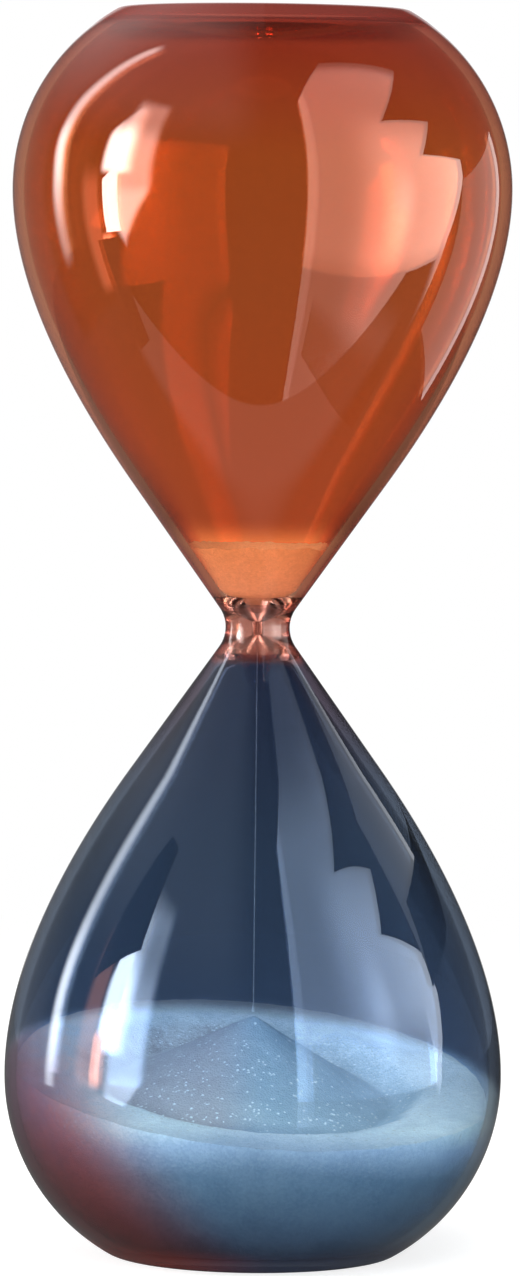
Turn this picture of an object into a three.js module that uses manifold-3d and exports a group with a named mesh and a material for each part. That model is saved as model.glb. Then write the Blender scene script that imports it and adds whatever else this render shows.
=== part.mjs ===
// Frameless hourglass of blown glass: two bulbs of coloured glass fused to a thick clear neck,
// with white sand running from the upper bulb to the lower one.
// Millimetres, +Z up. The origin is the middle of the lower flat end, on the surface it stands on.
import * as THREE from 'three';
import { mergeVertices } from 'three/addons/utils/BufferGeometryUtils.js';
import Module from 'manifold-3d';

// Outside of the glass. Distances from the neck are measured from its narrowest circle.
const HEIGHT = 225; // between the two flat ends
const NECK_HEIGHT = 113.6; // lower flat end to the neck, a little over half way
const BELLY_RADIUS = 45; // widest circle of a bulb
const BELLY_FROM_END = 32.5; // widest circle to flat end
const END_RADIUS = 25.8; // where the dome would meet the flat end without its rounding
const END_CORNER = 3.2; // rounding between dome and flat end
const PUNT_RADIUS = 16.6; // shallow hollow in each flat end
const PUNT_DEPTH = 2;
const NECK_RADIUS = 5.8;
const NECK_FILLET = 6; // hollow curve from the neck into each cone
const CONE_ANGLE = 35.5; // degrees between a bulb's straight cone and the axis
const CONE_LENGTH = 25.6; // neck to the end of the straight cone
const CONE_PULL = 0.34; // share of the shoulder that keeps the cone's direction
const BELLY_PULL = 0.31; // share of the shoulder that keeps the belly's upright direction

// Inside of the glass
const WALL = 2; // cone, belly and dome
const END_WALL = 3; // flat ends
const END_INNER_CORNER = 6;
const ORIFICE_RADIUS = 0.7; // fine passage that sets the running time
const ORIFICE_LENGTH = 3.2;
const THROAT_FROM_NECK = 6.5; // where the funnel widens into the full hollow of the cone

// Joins between the pieces of glass
const SEAM_FROM_NECK = 4.6; // neck to each fused seam
const SEAM_GAP = 0.3;
const FILL_HOLE_RADIUS = 2.2; // hole in the upper end through which the sand goes in
const SEAL_GAP = 0.3;
const SEAL_BUTTON_RADIUS = 4;
const SEAL_BUTTON_HEIGHT = 1.2;

// Sand
const SAND_GAP = 0.3; // between sand and glass, and between two bodies of sand
const REPOSE_ANGLE = 31.3; // degrees, the slope at which the grains come to rest
const CRATER_FROM_NECK = 7.5; // neck to the bottom of the upper sand's draining crater
const HEAP_HEIGHT = 43.9; // standing surface to the tip of the fresh heap
const HEAP_FOOT_RADIUS = 25;
const BASIN_RADIUS = 32; // rim of the hollow in the bed round the heap
const BED_BELOW_TIP = 10.9; // tip of the heap to the level of the bed
const BED_TILT = 11.6; // degrees, how far the bed has slumped to one side
const BED_FALL_DIRECTION = -66; // degrees from +X, the way in which the bed slopes down

// Fineness of the facets
const ROUND_STEPS = 56;
const SMALL_ROUND_STEPS = 24;
const STREAM_STEPS = 12;
const NECK_STEPS = 8;
const SHOULDER_STEPS = 6;
const DOME_STEPS = 5;
const CORNER_STEPS = 3;
const PUNT_STEPS = 3;
const CROWN_STEPS = 5;

const wasm = await Module();
wasm.setup();

const radians = THREE.MathUtils.degToRad;
const coneAngle = radians(CONE_ANGLE);
const coneSlope = Math.tan(coneAngle);
const reposeSlope = Math.tan(radians(REPOSE_ANGLE));

// Half outlines are points of (radius, distance from the neck).
const point = (radius, fromNeck) => new THREE.Vector2(radius, fromNeck);
const coneDirection = point(Math.sin(coneAngle), Math.cos(coneAngle));
const coneStart = point(
  NECK_RADIUS + NECK_FILLET * (1 - Math.cos(coneAngle)),
  NECK_FILLET * Math.sin(coneAngle),
);
const coneEnd = point(coneStart.x + coneSlope * (CONE_LENGTH - coneStart.y), CONE_LENGTH);

// Inside, the cone's wall is even down to the throat. A steeper funnel runs from there to the
// orifice, so the glass is thickest at the neck.
const inward = (direction) => point(-direction.y, direction.x);
const hollowAt = (outside) => outside.clone().addScaledVector(inward(coneDirection), WALL);
const funnelStart = point(ORIFICE_RADIUS, ORIFICE_LENGTH / 2);
const throat = point(
  outerNeckRadius(THROAT_FROM_NECK) - WALL / coneDirection.y,
  THROAT_FROM_NECK,
);
const funnelDirection = throat.clone().sub(funnelStart).normalize();
const funnelSlope = funnelDirection.x / funnelDirection.y;

// The dome is an arc that starts upright at the belly and reaches END_RADIUS at the flat end.
const domeInset = BELLY_RADIUS - END_RADIUS;
const domeRadius = (domeInset ** 2 + BELLY_FROM_END ** 2) / (2 * domeInset);

// The punt is a shallow cap of a large sphere.
const puntSphere = (PUNT_RADIUS ** 2 + PUNT_DEPTH ** 2) / (2 * PUNT_DEPTH);

// Places on the axis of a bulb whose flat end is at a distance from the neck.
function bulbLevels(end) {
  const belly = end - BELLY_FROM_END;
  return {
    end,
    belly,
    domeCentre: point(BELLY_RADIUS - domeRadius, belly),
    puntBottom: end - PUNT_DEPTH,
    puntCentre: point(0, end - PUNT_DEPTH + puntSphere),
  };
}

const lowerLevels = bulbLevels(NECK_HEIGHT);
const upperLevels = bulbLevels(HEIGHT - NECK_HEIGHT);

function arc(centre, radius, startAngle, endAngle, steps) {
  const clockwise = endAngle < startAngle;
  const curve = new THREE.EllipseCurve(
    centre.x, centre.y, radius, radius, startAngle, endAngle, clockwise,
  );
  return curve.getPoints(steps);
}

function outerNeckRadius(fromNeck) {
  if (fromNeck > coneStart.y) {
    return coneStart.x + coneSlope * (fromNeck - coneStart.y);
  }
  return NECK_RADIUS + NECK_FILLET - Math.sqrt(NECK_FILLET ** 2 - fromNeck ** 2);
}

// Radius of the funnel, or of a surface that keeps a gap to it.
function funnelRadius(fromNeck, gap) {
  const glass = funnelStart.x + funnelSlope * (fromNeck - funnelStart.y);
  return glass - gap / funnelDirection.y;
}

// The throat's corner on a surface that keeps a gap to the glass on both sides of it.
function throatCorner(gap) {
  const both = inward(funnelDirection).add(inward(coneDirection));
  return throat.clone().addScaledVector(both, (2 * gap) / both.lengthSq());
}

// Shoulder from the straight cone to the upright belly.
function shoulder(start, end) {
  const reach = start.distanceTo(end);
  const leave = start.clone().addScaledVector(coneDirection, CONE_PULL * reach);
  const arrive = point(end.x, end.y - BELLY_PULL * reach);
  return new THREE.CubicBezierCurve(start, leave, arrive, end).getPoints(SHOULDER_STEPS);
}

// Dome at an inset from the outer one, rounded into a flat end.
function domeToEnd(domeCentre, inset, flatEnd, corner) {
  const radius = domeRadius - inset;
  const rise = flatEnd - corner - domeCentre.y;
  const across = Math.sqrt((radius - corner) ** 2 - rise ** 2);
  const cornerCentre = point(domeCentre.x + across, flatEnd - corner);
  const turn = Math.atan2(rise, across);
  return [
    ...arc(domeCentre, radius, 0, turn, DOME_STEPS).slice(1),
    ...arc(cornerCentre, corner, turn, Math.PI / 2, CORNER_STEPS).slice(1),
  ];
}

// Punt at a depth inside the outer surface, from its edge in to a hole or to the axis.
function punt(puntCentre, depth, holeRadius) {
  const radius = puntSphere + depth;
  const edge = Math.acos((radius - PUNT_DEPTH) / radius);
  const hole = Math.asin(holeRadius / radius);
  return arc(puntCentre, radius, edge - Math.PI / 2, hole - Math.PI / 2, PUNT_STEPS);
}

function bulbOutside(levels, holeRadius) {
  return [
    point(outerNeckRadius(SEAM_FROM_NECK), SEAM_FROM_NECK),
    ...shoulder(coneEnd, point(BELLY_RADIUS, levels.belly)),
    ...domeToEnd(levels.domeCentre, 0, levels.end, END_CORNER),
    ...punt(levels.puntCentre, 0, holeRadius),
  ];
}

// The inner surface of a bulb, or a surface that keeps a gap to it all over.
function bulbInside(levels, fromNeck, gap, holeRadius) {
  const start = hollowAt(coneEnd).addScaledVector(inward(coneDirection), gap);
  const flatEnd = levels.end - END_WALL - gap;
  return [
    point(funnelRadius(fromNeck, gap), fromNeck),
    throatCorner(gap),
    ...shoulder(start, point(BELLY_RADIUS - WALL - gap, levels.belly)),
    ...domeToEnd(levels.domeCentre, WALL + gap, flatEnd, END_INNER_CORNER - gap),
    ...punt(levels.puntCentre, END_WALL + gap, holeRadius),
  ];
}

function revolve(outline, steps) {
  return new THREE.LatheGeometry(outline, steps).rotateX(Math.PI / 2);
}

function solidOf(geometry) {
  const bare = geometry.clone().deleteAttribute('normal').deleteAttribute('uv');
  const merged = mergeVertices(bare);
  return new wasm.Manifold(new wasm.Mesh({
    numProp: 3,
    vertProperties: merged.attributes.position.array,
    triVerts: Uint32Array.from(merged.index.array),
  }));
}

function geometryOf(solid) {
  const mesh = solid.getMesh();
  const geometry = new THREE.BufferGeometry();
  geometry.setAttribute('position', new THREE.BufferAttribute(mesh.vertProperties, 3));
  geometry.setIndex(new THREE.BufferAttribute(mesh.triVerts, 1));
  geometry.computeVertexNormals();
  return geometry;
}

// A bulb's shell with its flat end up. A bulb with no filling hole is closed at that end.
function bulbGeometry(levels, holeRadius) {
  const outline = [
    ...bulbInside(levels, SEAM_FROM_NECK, 0, holeRadius).reverse(),
    ...bulbOutside(levels, holeRadius),
  ];
  if (holeRadius > 0) {
    outline.push(outline[0].clone());
  }
  return revolve(outline, ROUND_STEPS);
}

// Thick clear glass between the seams, with a funnel on each side of the orifice.
function neckGeometry() {
  const seam = SEAM_FROM_NECK - SEAM_GAP;
  const outline = [];
  for (let step = 0; step <= NECK_STEPS; step += 1) {
    const fromNeck = 2 * seam * (step / NECK_STEPS) - seam;
    outline.push(point(outerNeckRadius(Math.abs(fromNeck)), fromNeck));
  }
  outline.push(
    point(funnelRadius(seam, 0), seam),
    funnelStart,
    point(funnelStart.x, -funnelStart.y),
    point(funnelRadius(seam, 0), -seam),
    outline[0].clone(),
  );
  return revolve(outline, ROUND_STEPS);
}

// Glass plug melted into the filling hole: a shank in the hole and a low button in the punt.
function fillSealGeometry() {
  const { puntBottom, puntCentre } = upperLevels;
  const shankRadius = FILL_HOLE_RADIUS - SEAL_GAP;
  const seat = puntCentre.y - Math.sqrt(puntSphere ** 2 - SEAL_BUTTON_RADIUS ** 2) + SEAL_GAP;
  const buttonTop = puntBottom + SEAL_GAP + SEAL_BUTTON_HEIGHT;
  const crown = new THREE.EllipseCurve(
    0, seat, SEAL_BUTTON_RADIUS, buttonTop - seat, 0, Math.PI / 2,
  );
  const outline = [
    point(0, puntBottom - END_WALL),
    point(shankRadius, puntBottom - END_WALL),
    point(shankRadius, seat),
    ...crown.getPoints(CROWN_STEPS),
  ];
  return revolve(outline, SMALL_ROUND_STEPS);
}

// Everything inside a bulb that sand may fill, flat end up.
function sandSpace(levels) {
  const bottom = funnelStart.y + SAND_GAP;
  const outline = [point(0, bottom), ...bulbInside(levels, bottom, SAND_GAP, 0)];
  return solidOf(revolve(outline, ROUND_STEPS));
}

// Sand left in the upper bulb, draining through a crater in its middle.
function upperSandGeometry() {
  const reach = BELLY_RADIUS;
  const crater = [
    point(0, CRATER_FROM_NECK),
    point(reach, CRATER_FROM_NECK + reach * reposeSlope),
    point(reach, upperLevels.end),
    point(0, upperLevels.end),
  ];
  return geometryOf(sandSpace(upperLevels).subtract(solidOf(revolve(crater, ROUND_STEPS))));
}

// Sand in the lower bulb: a slumped bed with a hollow round the fresh heap under the stream.
function lowerSandGeometry() {
  const reach = HEIGHT;
  const air = revolve([
    point(0, 0),
    point(HEAP_FOOT_RADIUS, -HEAP_FOOT_RADIUS * reposeSlope),
    point(BASIN_RADIUS, -BED_BELOW_TIP),
    point(reach, -BED_BELOW_TIP),
    point(reach, reach),
    point(0, reach),
  ], ROUND_STEPS);
  const fallDirection = radians(BED_FALL_DIRECTION);
  const tiltAxis = new THREE.Vector3(-Math.sin(fallDirection), Math.cos(fallDirection), 0);
  const tilt = new THREE.Matrix4().makeRotationAxis(tiltAxis, radians(BED_TILT));
  air.applyMatrix4(tilt).translate(0, 0, HEAP_HEIGHT);
  const space = sandSpace(lowerLevels).rotate([180, 0, 0]).translate([0, 0, NECK_HEIGHT]);
  return geometryOf(space.subtract(solidOf(air)));
}

// Thread of sand from the orifice to the tip of the heap.
function streamGeometry() {
  const length = NECK_HEIGHT + funnelStart.y - HEAP_HEIGHT - SAND_GAP;
  const radius = ORIFICE_RADIUS - SAND_GAP;
  return new THREE.CylinderGeometry(radius, radius, length, STREAM_STEPS)
    .rotateX(Math.PI / 2)
    .translate(0, 0, length / 2);
}

const amberGlass = { color: 0xb5481c, roughness: 0.04, metalness: 0, transparent: true, opacity: 0.55 };
const blueGlass = { color: 0x2c4258, roughness: 0.04, metalness: 0, transparent: true, opacity: 0.55 };
const clearGlass = { color: 0xe8cfc6, roughness: 0.04, metalness: 0, transparent: true, opacity: 0.4 };
const whiteSand = { color: 0xdfe6ea, roughness: 0.85, metalness: 0 };

const hourglass = new THREE.Group();

function addPiece(name, geometry, finish, height) {
  const mesh = new THREE.Mesh(geometry, new THREE.MeshStandardMaterial(finish));
  mesh.name = name;
  mesh.position.z = height;
  hourglass.add(mesh);
  return mesh;
}

addPiece('upper_bulb', bulbGeometry(upperLevels, FILL_HOLE_RADIUS), amberGlass, NECK_HEIGHT);
addPiece('lower_bulb', bulbGeometry(lowerLevels, 0), blueGlass, NECK_HEIGHT).rotation.x = Math.PI;
addPiece('neck', neckGeometry(), clearGlass, NECK_HEIGHT);
addPiece('fill_seal', fillSealGeometry(), amberGlass, NECK_HEIGHT);
addPiece('upper_sand', upperSandGeometry(), whiteSand, NECK_HEIGHT);
addPiece('lower_sand', lowerSandGeometry(), whiteSand, 0);
addPiece('sand_stream', streamGeometry(), whiteSand, HEAP_HEIGHT + SAND_GAP);

export default hourglass;
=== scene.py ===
"""Looks of a frameless blown-glass hourglass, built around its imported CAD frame.

Metres, +Z up. The glass is an amber bulb and a blue bulb that fade into a thick clear neck,
and white sand runs from the upper bulb into a heap on the slumped bed of the lower one.
"""
import math

import bpy
from mathutils import Matrix, Vector, noise


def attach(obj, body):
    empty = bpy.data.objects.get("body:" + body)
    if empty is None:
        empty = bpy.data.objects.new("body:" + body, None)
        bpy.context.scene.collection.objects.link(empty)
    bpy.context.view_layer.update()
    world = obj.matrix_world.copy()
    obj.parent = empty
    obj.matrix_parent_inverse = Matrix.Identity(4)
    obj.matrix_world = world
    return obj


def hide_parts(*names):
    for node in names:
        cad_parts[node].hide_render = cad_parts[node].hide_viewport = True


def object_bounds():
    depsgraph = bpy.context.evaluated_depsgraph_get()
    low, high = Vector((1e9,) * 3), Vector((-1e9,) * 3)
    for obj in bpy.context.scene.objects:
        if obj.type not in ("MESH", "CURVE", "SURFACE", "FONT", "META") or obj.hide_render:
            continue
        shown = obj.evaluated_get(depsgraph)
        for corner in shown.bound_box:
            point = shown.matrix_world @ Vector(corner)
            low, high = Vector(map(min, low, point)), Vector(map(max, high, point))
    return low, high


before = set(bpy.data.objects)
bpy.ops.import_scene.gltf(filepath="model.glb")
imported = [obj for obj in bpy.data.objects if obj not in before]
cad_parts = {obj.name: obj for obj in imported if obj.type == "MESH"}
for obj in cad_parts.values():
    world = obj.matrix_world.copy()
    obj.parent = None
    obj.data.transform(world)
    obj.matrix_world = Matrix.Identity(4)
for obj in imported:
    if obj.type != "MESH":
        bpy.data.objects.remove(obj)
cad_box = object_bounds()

MM = 0.001

# Sizes of the glass, as in the CAD part unless a line says otherwise. Distances are from the
# narrowest circle of the neck.
HEIGHT = cad_box[1][2]
NECK_HEIGHT = 113.6 * MM
BELLY_RADIUS = cad_box[1][0]
BELLY_FROM_END = 32.5 * MM
END_RADIUS = 25.8 * MM
END_CORNER = 3.2 * MM
PUNT_RADIUS = 16.6 * MM
PUNT_DEPTH = 2 * MM
NECK_RADIUS = 5.8 * MM
NECK_FILLET = 6 * MM
CONE_ANGLE = math.radians(35.5)
CONE_LENGTH = 25.6 * MM
CONE_PULL = 0.34
BELLY_PULL = 0.31
WALL = 2 * MM
END_WALL = 3 * MM
END_INNER_CORNER = 6 * MM
ORIFICE_RADIUS = 0.7 * MM
ORIFICE_LENGTH = 3.2 * MM
THROAT_FROM_NECK = 6.5 * MM
SEAM_FROM_NECK = 4.45 * MM  # middle of the CAD part's gap between bulb and neck
FILL_HOLE_RADIUS = 2.05 * MM  # a little narrower than in the CAD part, as is the seal's shank
SEAL_BUTTON_RADIUS = 4 * MM
SEAL_BUTTON_HEIGHT = 1.2 * MM
SEAL_GAP = 0.3 * MM

# Sizes of the sand
SAND_GAP = 0.12 * MM  # to the glass, less than in the CAD part
REPOSE_SLOPE = math.tan(math.radians(31.3))
CRATER_FROM_NECK = 7.5 * MM
HEAP_HEIGHT = 43.9 * MM
HEAP_FOOT_RADIUS = 25 * MM
BASIN_RADIUS = 32 * MM
BED_BELOW_TIP = 10.9 * MM
BED_TILT = math.radians(11.6)
BED_FALL_DIRECTION = math.radians(-66)
CRATER_ROUNDING = 1 * MM
TIP_ROUNDING = 0.5 * MM
TIP_DROP = 0.2 * MM
HEAP_TO_BASIN = 1.2 * MM  # how far two of these surfaces blend into each other
HEAP_TO_BED = 0.6 * MM
BASIN_TO_BED = 1.0 * MM
BROAD_LIE = (260, 0.22 * MM)  # scale and height of the uneven lie of the sand
FINE_LIE = (900, 0.12 * MM)
STREAM_RADIUS = 0.10 * MM
STREAM_RIPPLE = 0.03 * MM
RIPPLE_SCALE = 700
STREAM_SINK = 0.1 * MM
SPLASH_HEIGHT = 1.6 * MM
SPLASH_WIDENING = 2.5

# Fineness of the meshes: steps around, and steps along each stretch of an outline
AROUND = 224
AROUND_SEAL = 72
AROUND_STREAM = 12
NECK_STEPS = 32
FUNNEL_STEPS = 12
THROAT_STEPS = 6
INNER_CONE_STEPS = 16
OUTER_CONE_STEPS = 24
CURVE_STEPS = 60
CORNER_STEPS = 12
PUNT_STEPS = 16
BUTTON_STEPS = 24
STREAM_STEPS = 160
UPPER_SAND_STEPS = (40, 40)  # across the top, and down the sides
LOWER_SAND_STEPS = (90, 70)
HALVINGS = 40  # rounds of the search for the line where sand meets glass
SHARP_ANGLE = math.radians(38)

# Tolerances
SAME_PLACE = 1e-6  # m
LEVEL_NORMAL = 0.99  # least upright part of the normal of a level face
LEAST_RISE = 1e-12  # m, so that no step of an outline divides by nothing

CONE_DIRECTION = (math.sin(CONE_ANGLE), math.cos(CONE_ANGLE))
CONE_SLOPE = math.tan(CONE_ANGLE)
CONE_START = (
    NECK_RADIUS + NECK_FILLET * (1 - math.cos(CONE_ANGLE)),
    NECK_FILLET * math.sin(CONE_ANGLE),
)
CONE_END = (CONE_START[0] + CONE_SLOPE * (CONE_LENGTH - CONE_START[1]), CONE_LENGTH)
FUNNEL_START = (ORIFICE_RADIUS, ORIFICE_LENGTH / 2)
THROAT = (
    CONE_START[0] + CONE_SLOPE * (THROAT_FROM_NECK - CONE_START[1]) - WALL / CONE_DIRECTION[1],
    THROAT_FROM_NECK,
)
FUNNEL_LENGTH = math.dist(FUNNEL_START, THROAT)
FUNNEL_DIRECTION = (
    (THROAT[0] - FUNNEL_START[0]) / FUNNEL_LENGTH,
    (THROAT[1] - FUNNEL_START[1]) / FUNNEL_LENGTH,
)
DOME_INSET = BELLY_RADIUS - END_RADIUS
DOME_RADIUS = (DOME_INSET**2 + BELLY_FROM_END**2) / (2 * DOME_INSET)
PUNT_SPHERE = (PUNT_RADIUS**2 + PUNT_DEPTH**2) / (2 * PUNT_DEPTH)


class Levels:
    """Places on the axis of a bulb whose flat end is at a distance from the neck."""

    def __init__(self, end):
        self.end = end
        self.belly = end - BELLY_FROM_END
        self.dome_centre = (BELLY_RADIUS - DOME_RADIUS, self.belly)
        self.punt_bottom = end - PUNT_DEPTH
        self.punt_centre = (0.0, self.punt_bottom + PUNT_SPHERE)


LOWER = Levels(NECK_HEIGHT)
UPPER = Levels(HEIGHT - NECK_HEIGHT)


# Outlines: lists of (radius, distance from the neck)

def arc(centre, radius, start, end, steps):
    """Arc between two angles."""
    turns = [start + (end - start) * i / steps for i in range(steps + 1)]
    return [(centre[0] + radius * math.cos(t), centre[1] + radius * math.sin(t)) for t in turns]


def line(start, end, steps):
    return [
        (start[0] + (end[0] - start[0]) * i / steps, start[1] + (end[1] - start[1]) * i / steps)
        for i in range(steps + 1)
    ]


def outer_neck(start, end, steps):
    """Outside of the glass near the neck, between two distances."""
    points = []
    for i in range(steps + 1):
        along = start + (end - start) * i / steps
        reach = abs(along)
        if reach > CONE_START[1]:
            radius = CONE_START[0] + CONE_SLOPE * (reach - CONE_START[1])
        else:
            radius = NECK_RADIUS + NECK_FILLET - math.sqrt(NECK_FILLET**2 - reach**2)
        points.append((radius, along))
    return points


def funnel_radius(from_neck, gap):
    """Inner radius of a funnel at a distance from the neck, less a gap to its glass."""
    slope = FUNNEL_DIRECTION[0] / FUNNEL_DIRECTION[1]
    return FUNNEL_START[0] + slope * (from_neck - FUNNEL_START[1]) - gap / FUNNEL_DIRECTION[1]


def inset_point(corner, direction, depth):
    """A point moved towards the hollow, square to the direction of the glass there."""
    return (corner[0] - direction[1] * depth, corner[1] + direction[0] * depth)


def throat_corner(gap):
    """Where the surfaces that keep a gap to the funnel and to the cone's wall meet."""
    across = (
        -FUNNEL_DIRECTION[1] - CONE_DIRECTION[1],
        FUNNEL_DIRECTION[0] + CONE_DIRECTION[0],
    )
    reach = 2 * gap / (across[0] ** 2 + across[1] ** 2)
    return (THROAT[0] + across[0] * reach, THROAT[1] + across[1] * reach)


def shoulder(start, end):
    """Smooth curve from the straight cone to the upright belly."""
    reach = math.dist(start, end)
    leave = (
        start[0] + CONE_DIRECTION[0] * CONE_PULL * reach,
        start[1] + CONE_DIRECTION[1] * CONE_PULL * reach,
    )
    arrive = (end[0], end[1] - BELLY_PULL * reach)
    points = []
    for i in range(CURVE_STEPS + 1):
        t = i / CURVE_STEPS
        s = 1 - t
        weights = (s**3, 3 * s * s * t, 3 * s * t * t, t**3)
        corners = (start, leave, arrive, end)
        points.append(tuple(sum(w * c[k] for w, c in zip(weights, corners)) for k in (0, 1)))
    return points


def dome_to_end(dome_centre, inset, flat_end, corner):
    """Dome at an inset from the outer one, rounded into a flat end."""
    radius = DOME_RADIUS - inset
    rise = flat_end - corner - dome_centre[1]
    across = math.sqrt((radius - corner) ** 2 - rise**2)
    corner_centre = (dome_centre[0] + across, flat_end - corner)
    turn = math.atan2(rise, across)
    dome = arc(dome_centre, radius, 0, turn, CURVE_STEPS)
    rounding = arc(corner_centre, corner, turn, math.pi / 2, CORNER_STEPS)
    return dome[1:] + rounding[1:]


def punt(levels, depth, hole_radius):
    """Shallow hollow of the end, at a depth inside the glass, from its edge inwards."""
    radius = PUNT_SPHERE + depth
    edge = math.acos((radius - PUNT_DEPTH) / radius)
    hole = math.asin(hole_radius / radius)
    return arc(levels.punt_centre, radius, edge - math.pi / 2, hole - math.pi / 2, PUNT_STEPS)


def bulb_outside(levels, hole_radius):
    """Outer surface of a bulb, from its seam with the neck to the hole in its punt."""
    return (
        outer_neck(SEAM_FROM_NECK, CONE_LENGTH, OUTER_CONE_STEPS)[:-1]
        + shoulder(CONE_END, (BELLY_RADIUS, levels.belly))
        + dome_to_end(levels.dome_centre, 0, levels.end, END_CORNER)
        + punt(levels, 0, hole_radius)
    )


def bulb_inside(levels, from_neck, gap, hole_radius):
    """Inner surface of a bulb, or a surface that keeps a gap to it."""
    corner = throat_corner(gap)
    start = inset_point(CONE_END, CONE_DIRECTION, WALL + gap)
    belly = (BELLY_RADIUS - WALL - gap, levels.belly)
    flat_end = levels.end - END_WALL - gap
    return (
        line((funnel_radius(from_neck, gap), from_neck), corner, THROAT_STEPS)[:-1]
        + line(corner, start, INNER_CONE_STEPS)[:-1]
        + shoulder(start, belly)
        + dome_to_end(levels.dome_centre, WALL + gap, flat_end, END_INNER_CORNER - gap)
        + punt(levels, END_WALL + gap, hole_radius)
    )


# Meshes

def mesh_object(name, vertices, faces):
    mesh = bpy.data.meshes.new(name)
    mesh.from_pydata(vertices, [], faces)
    mesh.validate()
    mesh.polygons.foreach_set("use_smooth", [True] * len(mesh.polygons))
    mesh.set_sharp_from_angle(angle=SHARP_ANGLE)
    piece = bpy.data.objects.new(name, mesh)
    bpy.context.scene.collection.objects.link(piece)
    return piece


def revolve(name, outline, place, around=AROUND):
    """Closed lathe solid. The outline runs anticlockwise and closes on itself or on the axis."""
    vertices, rings = [], []
    for radius, along in outline:
        height = place(along)
        if radius < SAME_PLACE:
            rings.append([len(vertices)] * around)
            vertices.append((0, 0, height))
            continue
        rings.append([len(vertices) + i for i in range(around)])
        for i in range(around):
            turn = math.tau * i / around
            vertices.append((radius * math.cos(turn), radius * math.sin(turn), height))
    on_axis = outline[0][0] < SAME_PLACE and outline[-1][0] < SAME_PLACE
    pairs = list(zip(rings, rings[1:])) + ([] if on_axis else [(rings[-1], rings[0])])
    faces = []
    for low, high in pairs:
        for i in range(around):
            j = (i + 1) % around
            corners = [low[i], low[j], high[j], high[i]]
            face = [c for k, c in enumerate(corners) if c != corners[k - 1]]
            if len(face) > 2:
                faces.append(face)
    piece = mesh_object(name, vertices, faces)
    turn_faces_out(piece)
    return piece


def turn_faces_out(piece):
    """Flips every face of a closed mesh whose faces point in."""
    mesh = piece.data
    volume = 0.0
    for polygon in mesh.polygons:
        corners = [mesh.vertices[v].co for v in polygon.vertices]
        for a, b in zip(corners[1:], corners[2:]):
            volume += corners[0].dot(a.cross(b))
    if volume < 0:
        mesh.flip_normals()


# Materials

DEGREES = 180 / math.pi  # in a radian
WHITE = (1, 1, 1)


class Nodes:
    """Short names for building a node tree."""

    def __init__(self, tree):
        self.tree = tree
        self.tree.nodes.clear()

    def add(self, kind, *inputs, **settings):
        made = self.tree.nodes.new("ShaderNode" + kind)
        for key, value in settings.items():
            setattr(made, key, value)
        for index, value in enumerate(inputs):
            if value is not None:
                self.put(made.inputs[index], value)
        return made

    def put(self, socket, value):
        if isinstance(value, bpy.types.NodeSocket):
            self.tree.links.new(value, socket)
        elif isinstance(value, bpy.types.Node):
            self.tree.links.new(value.outputs[0], socket)
        else:
            socket.default_value = value

    def split(self, vector):
        """The x, y and z of a vector."""
        return self.add("SeparateXYZ", vector).outputs[:]

    def position(self):
        """Object coordinates: the place itself, and its x, y and z."""
        place = self.add("TexCoord").outputs["Object"]
        return place, *self.split(place)

    def math(self, operation, *inputs, clamp=False):
        return self.add("Math", *inputs, operation=operation, use_clamp=clamp).outputs[0]

    def times(self, value, *factors):
        for factor in factors:
            value = self.math("MULTIPLY", value, factor)
        return value

    def plus(self, value, *others):
        for other in others:
            value = self.math("ADD", value, other)
        return value

    def linear(self, value, slope, start):
        """Start + slope * value."""
        return self.math("MULTIPLY_ADD", value, slope, start)

    def hypot(self, x, y):
        squares = self.plus(self.math("POWER", x, 2.0), self.math("POWER", y, 2.0))
        return self.math("SQRT", squares)

    def opposite(self, share):
        """1 where the share is 0, and 0 where it is 1."""
        return self.math("SUBTRACT", 1.0, share)

    def bounced(self, depth):
        """1 where a ray has had at least one bounce of a kind, from its depth."""
        return self.math("GREATER_THAN", depth, 0.5)

    def smooth(self, value, start, end, low=0.0, high=1.0):
        """Smooth step from low at start to high at end."""
        made = self.add("MapRange", value, start, end, low, high, interpolation_type="SMOOTHSTEP")
        return made.outputs[0]

    def between(self, share, first, second):
        """First where the share is 0, second where it is 1."""
        return self.add("MapRange", share, 0.0, 1.0, first, second).outputs[0]

    def noise(self, place, scale, detail, roughness):
        return self.add("TexNoise", place, None, scale, detail, roughness).outputs["Fac"]

    def bump(self, height, strength, distance):
        made = self.add("Bump", strength, distance)
        self.put(made.inputs["Height"], height)
        return made.outputs[0]

    def ramp(self, value, stops):
        made = self.add("ValToRGB", value)
        elements = made.color_ramp.elements
        while len(elements) < len(stops):
            elements.new(1.0)
        for element, (position, colour) in zip(elements, stops):
            element.position = position
            element.color = (*colour, 1)
        return made.outputs[0]

    def mix(self, factor, first, second, blend="MIX"):
        made = self.add("Mix", data_type="RGBA", blend_type=blend)
        sockets = (made.inputs[0], made.inputs[6], made.inputs[7])
        for socket, value in zip(sockets, (factor, first, second)):
            if isinstance(value, tuple):
                value = (*value, 1)
            self.put(socket, value)
        return made.outputs[2]

    def tinted(self, colour, tint):
        return self.mix(1.0, colour, tint, "MULTIPLY")

    def principled(self, **values):
        made = self.add("BsdfPrincipled")
        for key, value in values.items():
            if isinstance(value, tuple):
                value = (*value, 1)
            self.put(made.inputs[key.replace("_", " ")], value)
        return made

    def glow(self, level, colour=WHITE):
        return self.add("Emission", (*colour, 1), level)

    def clear(self, colour=WHITE):
        return self.add("BsdfTransparent", (*colour, 1))

    def output(self, shader, kind="Material"):
        self.put(self.add("Output" + kind).inputs["Surface"], shader)


def new_material(name):
    material = bpy.data.materials.new(name)
    material.use_nodes = True
    return material, Nodes(material.node_tree)


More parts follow.
